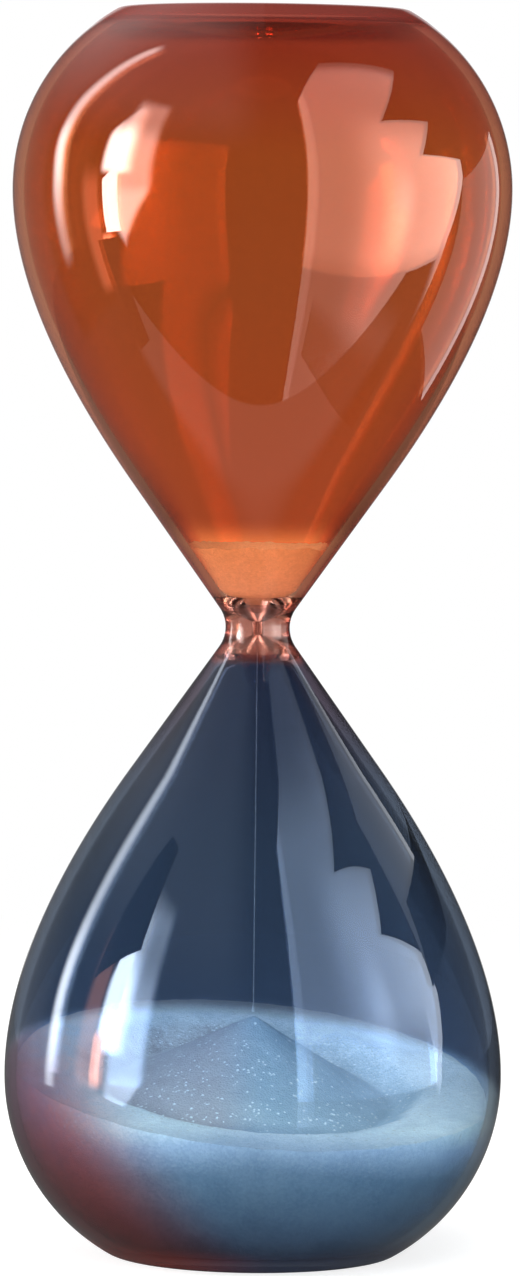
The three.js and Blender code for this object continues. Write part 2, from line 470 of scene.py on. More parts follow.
# Tints of the glass at distances from the neck, in mm
AMBER_STOPS = (
    (0.0, (0.62, 0.25, 0.18)),
    (4.5, (0.80, 0.36, 0.22)),
    # From 7 to 15 mm the amber is paler where the upper sand lies behind it: painted light on that
    # sand
    (7.0, (1.0, 0.49, 0.30)),
    (15.0, (1.0, 0.47, 0.24)),
    (19.0, (0.62, 0.235, 0.115)),
    (60.0, (0.575, 0.243, 0.114)),
    (85.0, (0.575, 0.24, 0.106)),
    (104.0, (0.52, 0.165, 0.09)),
    (112.5, (0.50, 0.13, 0.09)),
)
BLUE_STOPS = (
    (0.0, (0.62, 0.25, 0.18)),
    (4.5, (0.50, 0.20, 0.17)),
    (6.5, (0.115, 0.14, 0.21)),
    (40.0, (0.135, 0.185, 0.26)),
    (80.0, (0.15, 0.21, 0.31)),
)
CLEAR_STOPS = (
    (0.0, (0.40, 0.16, 0.12)),
    (4.6, (0.38, 0.14, 0.10)),
    (112.5, (0.38, 0.14, 0.10)),
)

# Painted light and shade on the lower sand, as tints of the blue glass in front of it,
# again at distances from the neck: paler over the sand, a painted bright rim at 83.5 mm,
# and painted shade darker towards the base
SAND_PAINTED_LIGHT_STOPS = (
    (66.0, (0.47, 0.71, 0.97)),
    (83.5, (0.68, 0.89, 1.0)),
    (87.4, (0.41, 0.58, 0.77)),
    (92.5, (0.20, 0.33, 0.46)),
    (101.5, (0.14, 0.23, 0.33)),
    (108.0, (0.09, 0.14, 0.22)),
    (113.6, (0.05, 0.07, 0.13)),
)

# Painted warm light in red-brown on the lower left of the blue bulb, darker towards the
# base, at shares of its height above the base
PAINTED_WARM_LIGHT_STOPS = (
    (0.0, (0.24, 0.05, 0.04)),
    (0.20, (0.21, 0.065, 0.065)),
    (0.40, (0.26, 0.105, 0.115)),
    (0.55, (0.30, 0.15, 0.19)),
    (0.75, (0.38, 0.24, 0.33)),
    (0.95, (0.40, 0.30, 0.42)),
)

# What the tints are multiplied with at the rims, at distances from the neck, in mm
AMBER_RIMS = (
    (0.0, (0.22, 0.08, 0.12)),
    (17.0, (0.26, 0.10, 0.14)),
    (36.0, (0.85, 0.34, 0.48)),
    (70.0, (1.0, 0.42, 0.60)),
)
BLUE_RIMS = (
    (0.0, (0.20, 0.17, 0.20)),
    (40.0, (0.40, 0.36, 0.38)),
    (72.0, (0.40, 0.36, 0.38)),
    (84.0, (0.16, 0.15, 0.18)),
)
CLEAR_RIMS = (
    (0.0, (0.24, 0.11, 0.13)),
    (10.0, (0.24, 0.11, 0.13)),
)

# Colours of the gloss, and of the light that the glass lets through to its surroundings
AMBER_GLOSS = (0.94, 0.56, 0.50)
BLUE_GLOSS = (0.42, 0.53, 0.70)
CLEAR_GLOSS = (1.0, 0.85, 0.8)
AMBER_SHADOW = (1.0, 0.90, 0.80)
BLUE_SHADOW = (0.98, 0.99, 1.0)
CLEAR_SHADOW = (0.99, 0.98, 0.97)

# Looks of all the glass. A noise is its scale, detail and roughness, a bump its strength and
# depth, and facing runs from 0 where a surface faces the view to 1 where it turns away.
FULL_REACH = 120.0  # mm from the neck, beyond both flat ends
REACH = FULL_REACH * MM
GLASS_IOR = 1.5
STREAK_NOISE = (22.0, 3.0, 0.5)
STREAK_DRIFT = 0.02
WAVE_NOISE = (30.0, 2.0, 0.4)
WAVE_BUMP = (0.05, 0.0006)
CONE_TO_BELLY = (0.09, 0.26)  # shares of the reach
RIM_START = (0.56, 0.35)  # facing on the cone, and on the belly
RIM_FULL = (0.76, 1.0)
CONE_WALL = (0.42, 0.54)  # facing
CONE_WALL_TINT = (0.72, 0.30, 0.27)
CLEAR_TRANSMISSION = 0.82
CLEAR_ROUGHNESS = 0.16

# The thick glass around a flat end
AMBER_RING = (0.895, 0.915)  # shares of the reach
BLUE_RING = (0.90, 0.94)
RING_RADII = (20 * MM, 24 * MM)
RING_AMOUNT = 0.5
AMBER_RING_COLOUR = (0.30, 0.055, 0.04)
BLUE_RING_RIGHT = (0.07, 0.09, 0.17)
# The red-brown on the left of the blue ring is painted warm light, as on the foot of the blue bulb
BLUE_RING_WARM_LIGHT_LEFT = (0.30, 0.05, 0.04)
BLUE_RING_CHANGE = (6 * MM, -16 * MM)  # x

# The blue glass in front of the sand, with its painted light and shade, and its painted warm light
SAND_LINE = (80.3 * MM, 83.5 * MM)  # from the neck, where the painted light over the sand takes over
SAND_LINE_LEANS = (-0.0835, -0.111, 0.299)  # with x, with y, and with y to both sides
PALE_LEAN = -0.12  # with x to both sides
PAINTED_WARM_LIGHT_HEIGHT = 40 * MM
PAINTED_WARM_LIGHT_SPREAD = 30 * MM  # height below which the painted warm light reaches further in
PAINTED_WARM_LIGHT_SLOPE = 0.5
PAINTED_WARM_LIGHT_EDGE = (0.38, 0.88)  # shares of the belly's radius


def height_stops(stops):
    """Ramp positions from distances (mm) from the neck."""
    return [(distance / FULL_REACH, colour) for distance, colour in stops]


def glass_material(name, sign, stops, rims, gloss, shadow, foot=None, ring=None,
                   transmission=1.0, roughness=0.0):
    """Coloured glass whose tint runs with the distance from the neck, upwards where the sign
    is 1 and downwards where it is -1, and deepens at the rims. A foot changes that tint, on
    the blue bulb with painted light, painted shade and painted warm light for the sand behind it,
    and a ring is the thick glass around the flat end: its shares of the reach, and its colour."""
    material, n = new_material(name)
    place, x, y, z = n.position()
    share = n.linear(z, sign / REACH, -sign * NECK_HEIGHT / REACH)
    drift = n.linear(n.noise(place, *STREAK_NOISE), STREAK_DRIFT, -STREAK_DRIFT / 2)
    tint = n.ramp(n.plus(share, drift), height_stops(stops))
    if foot:
        tint = foot(n, x, y, z, share, tint)
    facing = n.add("LayerWeight", 0.5).outputs["Facing"]
    belly = n.smooth(share, *CONE_TO_BELLY)
    edge = n.smooth(facing, n.between(belly, *RIM_START), n.between(belly, *RIM_FULL))
    rim = n.ramp(share, height_stops(rims))
    colour = n.mix(edge, tint, n.tinted(tint, rim))
    wall = n.times(n.smooth(facing, *CONE_WALL), n.opposite(belly))
    colour = n.mix(wall, colour, n.tinted(colour, CONE_WALL_TINT))
    waves = n.bump(n.noise(place, *WAVE_NOISE), *WAVE_BUMP)
    glass = n.principled(
        Base_Color=colour, Roughness=roughness, IOR=GLASS_IOR, Transmission_Weight=transmission,
        Specular_Tint=gloss, Normal=waves,
    )
    if ring:
        shares, ring_colour = ring
        thick = n.times(n.smooth(n.hypot(x, y), *RING_RADII), n.smooth(share, *shares))
        deep = n.add("BsdfDiffuse", ring_colour(n, x))
        glass = n.add("MixShader", n.times(thick, RING_AMOUNT), glass, deep)
    is_shadow = n.add("LightPath").outputs["Is Shadow Ray"]
    n.output(n.add("MixShader", is_shadow, glass, n.clear(shadow)))
    return material


def painted_light_on_blue_foot(n, x, y, z, share, tint):
    """Painted light on the lower sand: paler blue over it, along a line that leans with the bed,
    with painted shade darker towards the base. One side carries painted warm light in
    red-brown, which spreads towards the end."""
    line = share
    for place, lean in zip((x, y, n.math("ABSOLUTE", y)), SAND_LINE_LEANS):
        line = n.linear(place, lean / REACH, line)
    painted_light_mask = n.smooth(line, SAND_LINE[0] / REACH, SAND_LINE[1] / REACH)
    depth = n.linear(n.math("ABSOLUTE", x), PALE_LEAN / REACH, share)
    tint = n.mix(painted_light_mask, tint, n.ramp(depth, height_stops(SAND_PAINTED_LIGHT_STOPS)))
    side = n.times(x, -1 / BELLY_RADIUS)
    low = n.linear(z, -1 / PAINTED_WARM_LIGHT_SPREAD, 1.0)
    amount = n.smooth(n.linear(low, PAINTED_WARM_LIGHT_SLOPE, side), *PAINTED_WARM_LIGHT_EDGE)
    colour = n.ramp(n.math("DIVIDE", z, PAINTED_WARM_LIGHT_HEIGHT), PAINTED_WARM_LIGHT_STOPS)
    return n.mix(n.times(amount, painted_light_mask), tint, colour)


def amber_ring_colour(n, x):
    return (*AMBER_RING_COLOUR, 1)


def blue_ring_colour(n, x):
    return n.mix(n.smooth(x, *BLUE_RING_CHANGE), BLUE_RING_RIGHT, BLUE_RING_WARM_LIGHT_LEFT)


def seam_material():
    """The fused faces inside the glass, which light crosses unchanged."""
    material, n = new_material("fused_seam")
    n.output(n.clear())
    return material


# Looks of the sand
GRAIN_SCALE = 2600.0
GRAIN_BUMP = (0.6, 0.0002)
CLOUD_NOISE = (200.0, 4.0, 0.6)
DRIFT_NOISE = (60.0, 3.0, 0.55)
SPECKLE = 0.50  # most that one grain adds to the pale share, and most that a patch adds
PATCHES = 0.50
PATCH_EDGE = (0.40, 0.62)
HOLLOW_EDGE = (34 * MM, 27 * MM)  # from the axis, where painted shade fills the hollow around the heap
HOLLOW_WANDER = 12 * MM
HOLLOW_BACK = (3 * MM, 16 * MM)  # y, where the painted shade gets weaker behind the heap
HOLLOW_BACK_SHARE = 0.4
SHADE_CHANGE = (-8 * MM, 3 * MM)  # x, from the left painted shade to the right one
WARM_LIGHT_CHANGE = (-18 * MM, -34 * MM)  # x, from the colour to the one with painted warm light
OUTER_SHADE = (0.68, 0.74, 0.80)
GLINT_GRAINS = 0.965  # tone of the cells above which grains are smoother and painted lighter as glints
PAINTED_GLINT_COLOUR = (0.98, 0.98, 0.98)
SAND_IOR = 1.45
SAND_ROUGHNESS = 0.8
GLINT_SMOOTHING = -0.65


def sand_material(name, colour, painted_warm_light, left_grain_and_painted_shade, right_grain_and_painted_shade, hollow):
    """Fine glass beads: speckled, grainy, with a few grains that are smoother and painted
    lighter as glints. The colour carries painted warm light on the left, and the shades are its
    dark grains and patches; around the heap they are also painted shade, warmer on the left,
    and hollow is how much of the colour that painted shade takes over there."""
    material, n = new_material(name)
    place, x, y, _ = n.position()
    grains = n.add("TexVoronoi", place, None, GRAIN_SCALE)
    grain = n.add("SeparateColor", grains.outputs["Color"]).outputs[0]
    clouds = n.noise(place, *CLOUD_NOISE)
    drift = n.noise(place, *DRIFT_NOISE)
    patches = n.smooth(n.plus(n.times(clouds, 0.5), n.times(drift, 0.5)), *PATCH_EDGE)
    pale = n.linear(patches, PATCHES, n.smooth(grain, 0.0, 1.0, 0.0, SPECKLE))
    reach = n.linear(n.math("SUBTRACT", drift, 0.5), HOLLOW_WANDER, n.hypot(x, y))
    # Painted shade in the hollow around the heap, weaker behind it
    inner = n.smooth(reach, *HOLLOW_EDGE, 0.0, hollow)
    inner = n.times(inner, n.smooth(y, *HOLLOW_BACK, 1.0, HOLLOW_BACK_SHARE))
    pale = n.times(pale, n.opposite(inner))
    shade = n.mix(n.smooth(x, *SHADE_CHANGE), left_grain_and_painted_shade, right_grain_and_painted_shade)
    shade = n.mix(n.smooth(reach, *HOLLOW_EDGE), OUTER_SHADE, shade)
    tone = n.mix(pale, shade, n.mix(n.smooth(x, *WARM_LIGHT_CHANGE), colour, painted_warm_light))
    glint = n.math("GREATER_THAN", grain, GLINT_GRAINS)
    n.output(n.principled(
        Base_Color=n.mix(glint, tone, PAINTED_GLINT_COLOUR), IOR=SAND_IOR,
        Roughness=n.linear(glint, GLINT_SMOOTHING, SAND_ROUGHNESS),
        Normal=n.bump(grains.outputs["Distance"], *GRAIN_BUMP),
    ))
    return material


amber_glass = glass_material(
    "amber_glass", 1, AMBER_STOPS, AMBER_RIMS, AMBER_GLOSS, AMBER_SHADOW,
    ring=(AMBER_RING, amber_ring_colour),
)
blue_glass = glass_material(
    "blue_glass", -1, BLUE_STOPS, BLUE_RIMS, BLUE_GLOSS, BLUE_SHADOW,
    foot=painted_light_on_blue_foot, ring=(BLUE_RING, blue_ring_colour),
)
clear_glass = glass_material(
    "clear_glass", 1, CLEAR_STOPS, CLEAR_RIMS, CLEAR_GLOSS, CLEAR_SHADOW,
    transmission=CLEAR_TRANSMISSION, roughness=CLEAR_ROUGHNESS,
)
fused_seam = seam_material()
# The bed's sand carries painted warm light on its left, and painted shade around the heap
bed_sand = sand_material(
    "bed_sand", colour=(0.97, 0.98, 0.98), painted_warm_light=(0.97, 0.74, 0.68),
    left_grain_and_painted_shade=(0.47, 0.43, 0.48), right_grain_and_painted_shade=(0.40, 0.50, 0.60), hollow=0.80,
)
fresh_sand = sand_material(
    "fresh_sand", colour=(0.97, 0.96, 0.95), painted_warm_light=(0.97, 0.96, 0.95),
    left_grain_and_painted_shade=(0.80, 0.80, 0.79), right_grain_and_painted_shade=(0.80, 0.80, 0.79), hollow=0.0,
)


# Pieces

def dress(piece, node):
    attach(piece, "root")
    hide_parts(node)


def upwards(along):
    return NECK_HEIGHT + along


def downwards(along):
    return NECK_HEIGHT - along


def paint(piece, glass, fused_at):
    """Glass all over, apart from the flat faces that are fused to the next piece."""
    piece.data.materials.append(glass)
    piece.data.materials.append(fused_seam)
    for polygon in piece.data.polygons:
        off_seam = abs(abs(polygon.center.z - NECK_HEIGHT) - fused_at)
        if off_seam < SAME_PLACE and abs(polygon.normal.z) > LEVEL_NORMAL:
            polygon.material_index = 1


def make_bulb(name, levels, place, hole_radius, glass):
    inside = bulb_inside(levels, SEAM_FROM_NECK, 0, hole_radius)
    outline = inside[::-1] + bulb_outside(levels, hole_radius)
    piece = revolve(name, outline, place)
    paint(piece, glass, SEAM_FROM_NECK)
    return piece


def make_neck():
    seam = SEAM_FROM_NECK
    funnel_end = funnel_radius(seam, 0)
    outline = outer_neck(-seam, seam, NECK_STEPS)
    outline += line((funnel_end, seam), FUNNEL_START, FUNNEL_STEPS)
    outline += line((ORIFICE_RADIUS, -ORIFICE_LENGTH / 2), (funnel_end, -seam), FUNNEL_STEPS)
    piece = revolve("neck_glass", outline, upwards)
    paint(piece, clear_glass, seam)
    return piece


def make_fill_seal():
    """Shank in the filling hole, under a round button that lies in the punt."""
    shank_radius = FILL_HOLE_RADIUS - SEAL_GAP
    punt_bottom = UPPER.punt_bottom
    punt_under_button = math.sqrt(PUNT_SPHERE**2 - SEAL_BUTTON_RADIUS**2)
    seat = UPPER.punt_centre[1] - punt_under_button + SEAL_GAP
    top = punt_bottom + SEAL_GAP + SEAL_BUTTON_HEIGHT
    outline = [
        (0.0, punt_bottom - END_WALL), (shank_radius, punt_bottom - END_WALL),
        (shank_radius, seat),
    ]
    for i in range(BUTTON_STEPS):
        turn = math.pi / 2 * i / BUTTON_STEPS
        outline.append((SEAL_BUTTON_RADIUS * math.cos(turn), seat + (top - seat) * math.sin(turn)))
    outline.append((0.0, top))
    piece = revolve("fill_seal_glass", outline, upwards, AROUND_SEAL)
    piece.data.materials.append(amber_glass)
    return piece


def smooth_max(a, b, blend):
    return 0.5 * (a + b + math.sqrt((a - b) ** 2 + blend**2))


def smooth_min(a, b, blend):
    return -smooth_max(-a, -b, blend)


def grainy(x, y, layer):
    """Uneven lie of loose grains, in metres. Each layer has its own."""
    place = Vector((x, y, layer))
    return sum(noise.noise(place * scale) * height for scale, height in (BROAD_LIE, FINE_LIE))


def bed_height(x, y):
    """Top of the lower sand: a fresh heap in a hollow of the tilted bed."""
    reach = math.hypot(x, y)
    heap = -REPOSE_SLOPE * math.hypot(reach, TIP_ROUNDING)
    foot = -REPOSE_SLOPE * HEAP_FOOT_RADIUS
    rise = (-BED_BELOW_TIP - foot) / (BASIN_RADIUS - HEAP_FOOT_RADIUS)
    basin = foot + rise * (reach - HEAP_FOOT_RADIUS)
    surface = smooth_max(heap, basin, HEAP_TO_BASIN)
    surface = smooth_min(surface, smooth_max(heap, -BED_BELOW_TIP, HEAP_TO_BED), BASIN_TO_BED)
    fall = x * math.cos(BED_FALL_DIRECTION) + y * math.sin(BED_FALL_DIRECTION)
    return HEAP_HEIGHT - TIP_DROP + surface - math.tan(BED_TILT) * fall + grainy(x, y, 0)


def crater_height(x, y):
    """Top of the upper sand, which drains through its middle."""
    rise = REPOSE_SLOPE * math.hypot(x, y, CRATER_ROUNDING)
    return NECK_HEIGHT + CRATER_FROM_NECK + rise + grainy(x, y, 1)


def radius_at(outline, along):
    """Radius of an outline of rising distances at one distance."""
    for (r0, d0), (r1, d1) in zip(outline, outline[1:]):
        if d0 <= along <= d1:
            return r0 + (r1 - r0) * (along - d0) / max(d1 - d0, LEAST_RISE)
    return outline[-1][0]


def sand_body(name, outline, place, surface, floor, steps):
    """Sand that fills a bulb up to a surface: a top of rings, and sides that follow the glass
    down to a floor. Steps are the rings across the top and those down the sides."""
    sign = 1 if place(1) > place(0) else -1
    turns = [math.tau * i / AROUND for i in range(AROUND)]
    widest = max(radius for radius, _ in outline)

    def along_at(reach, turn):
        """Distance from the neck of the surface, at a reach from the axis."""
        height = surface(reach * math.cos(turn), reach * math.sin(turn))
        return (height - NECK_HEIGHT) * sign

    contacts = []
    for turn in turns:
        low, high = 0.0, widest
        for _ in range(HALVINGS):
            reach = (low + high) / 2
            if reach < radius_at(outline, along_at(reach, turn)):
                low = reach
            else:
                high = reach
        contacts.append((low, along_at(low, turn)))

    across, deep = steps
    vertices = [(0, 0, surface(0, 0))]
    for step in range(1, across + 1):
        for turn, (edge, _) in zip(turns, contacts):
            reach = edge * step / across
            x, y = reach * math.cos(turn), reach * math.sin(turn)
            vertices.append((x, y, surface(x, y)))
    for step in range(1, deep + 1):
        for turn, (_, start) in zip(turns, contacts):
            along = start + (floor - start) * step / deep
            reach = radius_at(outline, along)
            vertices.append((reach * math.cos(turn), reach * math.sin(turn), place(along)))

    rings = [range(first, first + AROUND) for first in range(1, len(vertices), AROUND)]
    faces = []
    for i in range(AROUND):
        faces.append([0, rings[0][i], rings[0][(i + 1) % AROUND]])
    for inner, outer in zip(rings, rings[1:]):
        for i in range(AROUND):
            j = (i + 1) % AROUND
            faces.append([inner[i], outer[i], outer[j], inner[j]])
    faces.append(list(rings[-1][::-1]))
    piece = mesh_object(name, vertices, faces)
    turn_faces_out(piece)
    return piece


def make_upper_sand():
    bottom = FUNNEL_START[1] + SAND_GAP
    outline = bulb_inside(UPPER, bottom, SAND_GAP, 0)
    piece = sand_body(
        "upper_sand_grains", outline, upwards, crater_height, bottom, UPPER_SAND_STEPS,
    )
    piece.data.materials.append(fresh_sand)
    return piece


def make_lower_sand():
    """The sides stop where the outline turns into the flat end, which closes the body."""
    outline = bulb_inside(LOWER, FUNNEL_START[1], SAND_GAP, 0)
    distances = [along for _, along in outline]
    flat_end = max(distances) - SAME_PLACE
    last = next(i for i, along in enumerate(distances) if along >= flat_end)
    piece = sand_body(
        "lower_sand_grains", outline[:last + 1], downwards, bed_height, distances[last],
        LOWER_SAND_STEPS,
    )
    piece.data.materials.append(bed_sand)
    return piece


def make_stream():
    """Thread of falling grains, uneven along its length, which widens at the heap."""
    top = NECK_HEIGHT + FUNNEL_START[1]
    bottom = HEAP_HEIGHT - STREAM_SINK
    outline = [(0.0, bottom)]
    for i in range(STREAM_STEPS + 1):
        height = bottom + (top - bottom) * i / STREAM_STEPS
        ripple = noise.noise(Vector((0, 0, height * RIPPLE_SCALE)))
        spread = 1 + SPLASH_WIDENING * max(0.0, 1 - (height - bottom) / SPLASH_HEIGHT)
        outline.append(((STREAM_RADIUS + STREAM_RIPPLE * ripple) * spread, height))
    outline.append((0.0, top))
    piece = revolve("sand_stream_grains", outline, lambda height: height, AROUND_STREAM)
    piece.data.materials.append(fresh_sand)
    return piece


upper_bulb = make_bulb("upper_bulb_glass", UPPER, upwards, FILL_HOLE_RADIUS, amber_glass)
lower_bulb = make_bulb("lower_bulb_glass", LOWER, downwards, 0, blue_glass)
dress(upper_bulb, "upper_bulb")
dress(lower_bulb, "lower_bulb")
dress(make_neck(), "neck")
dress(make_fill_seal(), "fill_seal")
dress(make_upper_sand(), "upper_sand")
dress(make_lower_sand(), "lower_sand")
dress(make_stream(), "sand_stream")


# Studio

AMBIENT = 0.54
FLOOR_STEPS = 96
FLOOR_RADIUS = 0.7
FLOOR_FADE = (0.12, 0.6)  # from the axis, where the floor turns into the white around it
FLOOR_LIFT = 0.78
FLOOR_GRAIN = (40.0, 2.0, 0.5)
FLOOR_TONES = ((0.40, 0.40, 0.40), (0.43, 0.43, 0.43))
TABLE_LEVEL = 0.15
CLOTH_LEVEL = 1.0
FLOOR_INSIDE_LEVEL = 0.40
DARKEST = 0.04  # the room that reflections on the glass show, away from its panels
LENS = 123.7
SENSOR_HEIGHT = 24
CAMERA_PLACE = (0.00045, -1.186, 0.1806)
CAMERA_TILT = math.radians(90 - 3.326)  # from straight down
CAMERA_ROLL = math.radians(0.638)
LAMP_TARGET = Vector((0, 0, 0.06))
LAMPS = (  # name, place, size and watts
    ("key", (-1.1, -0.25, 0.9), 0.5, 8.0),
    ("top", (0.0, -0.7, 1.3), 0.8, 8.0),
    ("front", (-0.2, -1.4, 0.25), 0.6, 10.5),
)


def make_floor():
    """Pale floor that takes the object's shadow and runs out into the white surroundings.
    Reflections on the glass show it as a dark table with a white cloth along its near edge,
    and those inside the glass show it dimmed."""
    bpy.ops.mesh.primitive_circle_add(
        vertices=FLOOR_STEPS, radius=FLOOR_RADIUS, fill_type="NGON",
    )
    floor = bpy.context.object
    floor.name = "studio_floor"
    material, n = new_material("studio_floor")
    place, x, y, _ = n.position()
    path = n.add("LightPath").outputs

    seen = n.math("MAXIMUM", path["Is Camera Ray"], path["Is Transmission Ray"])
    tone = n.mix(n.noise(place, *FLOOR_GRAIN), *FLOOR_TONES)
    lit = n.add("AddShader", n.add("BsdfDiffuse", tone), n.glow(n.times(seen, FLOOR_LIFT)))
    plain = n.add("MixShader", n.smooth(n.hypot(x, y), *FLOOR_FADE), lit, n.glow(seen))

    table_left, table_right = n.smooth(x, -0.35, -0.31), n.smooth(x, 0.64, 0.62)
    table_front = n.smooth(y, -0.1185, -0.1155)
    cut_corner = n.times(n.smooth(x, 0.06, 0.12), n.smooth(y, -0.02, 0.02))
    on_table = n.times(table_left, table_right, table_front, n.opposite(cut_corner))
    cloth_left = n.smooth(n.linear(x, -0.72, y), 0.112, 0.100)
    cloth_right, cloth_back = n.smooth(x, 0.32, 0.20), n.smooth(y, -0.045, -0.07)
    on_cloth = n.times(cloth_left, cloth_right, cloth_back)
    cloth = n.glow(n.between(on_cloth, TABLE_LEVEL, CLOTH_LEVEL))
    table = n.add("MixShader", on_table, n.clear(), cloth)

    on_glass = n.math("SUBTRACT", path["Is Glossy Ray"], path["Is Transmission Ray"], clamp=True)
    in_glass = n.times(n.bounced(path["Glossy Depth"]), path["Is Transmission Ray"])
    plain_or_dim = n.add("MixShader", in_glass, plain, n.glow(FLOOR_INSIDE_LEVEL))
    n.output(n.add("MixShader", on_glass, plain_or_dim, table))

    floor.data.materials.append(material)


def make_world():
    """White to the camera and through glass, a plain level on the object, and a studio of
    soft panels in a dim room in what the glass reflects. Angles are in degrees. An azimuth
    is 0 towards the camera and rises to the right, and a step is its start, end and levels."""
    world = bpy.data.worlds.new("studio")
    bpy.context.scene.world = world
    world.use_nodes = True
    n = Nodes(world.node_tree)
    x, y, z = n.split(n.add("TexCoord").outputs["Generated"])
    azimuth = n.times(n.math("ARCTAN2", x, n.times(y, -1.0)), DEGREES)
    elevation = n.times(n.math("ARCSINE", z), DEGREES)

    def by_height(start, end, low, high):
        return n.smooth(elevation, start, end, low, high)

    def over(value, limit, soft):
        """1 where the value is over the limit, which may itself vary, with a soft edge."""
        return n.smooth(n.math("SUBTRACT", value, limit), -soft, soft)

    def panel(west, east, bottom, top, level, soft):
        """Soft box between two azimuths and two elevations."""
        across = n.times(over(azimuth, west, soft), over(east, azimuth, soft))
        upright = n.times(over(elevation, bottom, soft), over(top, elevation, soft))
        return n.times(across, upright, level)

    # The window on the left: the bright far half, and a dimmer pane that reaches below it
    core = panel(
        west=-79, east=-50, bottom=7, top=n.math("MINIMUM", n.linear(azimuth, 1.3, 127.0), 37.0),
        level=by_height(20.0, 32.0, 40.0, 11.0), soft=2.0,
    )
    core = n.times(core, over(-65.5, azimuth, 5.0))
    from_middle = n.math("ABSOLUTE", n.plus(azimuth, 68.5))
    pane = panel(
        west=-72, east=-53, bottom=n.linear(from_middle, 1.1, -18.0), top=40,
        level=n.plus(by_height(20.0, 32.0, 11.0, 5.0), by_height(2.0, -4.0, 0.0, 6.0)), soft=2.5,
    )

    # A tall thin streak further left, a little wavy
    wave = n.plus(by_height(2.0, 18.0, 0.0, -3.0), by_height(25.0, 42.0, 0.0, 2.0))
    streak = panel(
        west=n.plus(wave, -111.0), east=n.plus(wave, -105.0), bottom=-16, top=58,
        level=n.times(by_height(14.0, 26.0, 16.0, 9.0), by_height(-14.0, 10.0, 0.25, 1.0)),
        soft=2.6,
    )
    room = n.plus(core, pane, streak)

    # The rest of the room, as the outside and the inside of the glass reflect it
    ceiling = n.times(by_height(14.0, 46.0, 0.0, 1.0), n.smooth(x, 0.05, -0.30, 0.10, 0.85))
    left_wall = panel(west=-200, east=-119, bottom=-80, top=80, level=0.15, soft=5.0)
    behind = n.smooth(n.math("ABSOLUTE", azimuth), 168, 174)
    behind = n.times(behind, n.times(over(elevation, -40.0, 5.0), over(40.0, elevation, 5.0)))
    on_glass = n.plus(room, behind, n.plus(ceiling, left_wall))
    on_glass = n.math("MAXIMUM", on_glass, DARKEST)
    back_half = n.smooth(y, -0.05, 0.05, 0.25, 0.8)
    in_glass = n.plus(room, back_half)

    # Which kind of ray sees which of these
    path = n.add("LightPath").outputs
    not_lit = n.math("LESS_THAN", path["Diffuse Depth"], 0.5)
    seen = n.math("MAXIMUM", path["Is Camera Ray"], path["Is Transmission Ray"])
    seen = n.times(n.math("MAXIMUM", seen, path["Is Glossy Ray"]), not_lit)
    mirrored = n.between(n.bounced(path["Transmission Depth"]), on_glass, in_glass)
    shown = n.between(n.bounced(path["Glossy Depth"]), 1.0, mirrored)
    level = n.between(seen, AMBIENT, shown)
    n.output(n.add("Background", (*WHITE, 1), level), kind="World")


# Boards that only reflections in the glass show. They stand for what was around the object,
# or keep a part of it out of one bulb. Places and outlines are in metres.

def reflected_board(name, place, corners):
    """Flat board that neither the camera nor the lamps see. Returns its nodes."""
    mesh = bpy.data.meshes.new(name)
    mesh.from_pydata(corners, [], [range(len(corners))])
    board = bpy.data.objects.new(name, mesh)
    board.location = place
    bpy.context.scene.collection.objects.link(board)
    board.visible_camera = False
    board.visible_diffuse = False
    board.visible_shadow = False
    material, n = new_material(name)
    board.data.materials.append(material)
    return n


def upright_board(name, place, direction, outline):
    """Its outline is (distance along the board, height)."""
    corners = [(direction[0] * along, direction[1] * along, up) for along, up in outline]
    return reflected_board(name, (*place, 0), corners)


def level_board(name, height, outline):
    """Its outline is (x, y), anticlockwise from above, so that it faces up."""
    return reflected_board(name, (0, 0, height), [(x, y, 0) for x, y in outline])


def on_upright(n, direction):
    """Distance along an upright board, and height, for the nodes of its material."""
    _, x, y, height = n.position()
    if abs(direction[0]) > abs(direction[1]):
        return n.math("DIVIDE", x, direction[0]), height
    return n.math("DIVIDE", y, direction[1]), height


def rising(n):
    """1 for the rays that go up through a level board, 0 for those that go down."""
    return n.add("NewGeometry").outputs["Backfacing"]


def shine_in_reflections(n, level, inside=1.0, colour=WHITE, mask=1.0):
    """Shows the board in reflections where the mask says, at some multiple of its level in
    those that leave the inside of the glass."""
    path = n.add("LightPath").outputs
    reflected = n.bounced(path["Glossy Depth"])
    level = n.times(level, n.between(path["Is Transmission Ray"], 1.0, inside))
    shine = n.glow(level, colour)
    n.output(n.add("MixShader", n.times(reflected, mask), n.clear(), shine))


def make_side_card():
    """Large card on the right beside the table, brightest low down, with a lighter line along
    its left edge."""
    direction = (0.8, 0.6)
    n = upright_board("side_card", (0.323, -0.184), direction, (
        (-0.255, -0.60), (0.16, -0.60), (0.40, 0.05), (0.60, 0.25), (0.60, 0.35), (0.14, 0.31),
        (0.29, 0.475), (0.0, 0.42), (0.48, 1.0), (-0.05, 1.0), (-0.20, 0.69), (-0.255, 0.56),
    ))
    along, height = on_upright(n, direction)
    bright = n.times(n.smooth(along, -0.16, 0.01), n.smooth(height, 0.50, 0.28))
    top = n.smooth(height, 0.98, 0.78, 0.35, 1.0)
    foot = n.smooth(height, -0.02, 0.06, 0.6, 1.0)
    left_edge = n.smooth(along, -0.222, -0.232, 0.0, 1.6)
    from_core = n.hypot(n.plus(along, -0.03), n.linear(height, 0.5, -0.075))
    core = n.smooth(from_core, 0.08, 0.0, 0.0, 4.0)
    level = n.times(n.between(bright, 3.4, 7.5), top, foot)
    shine_in_reflections(n, n.plus(level, left_edge, core), inside=2.0)


def make_window_card():
    """The near half of the window on the left."""
    n = upright_board("window_card", (-0.328, -0.095), (0.216, -0.976), (
        (0.002, 0.106), (0.050, 0.104), (0.050, 0.260), (0.002, 0.212),
    ))
    shine_in_reflections(n, 36.0)


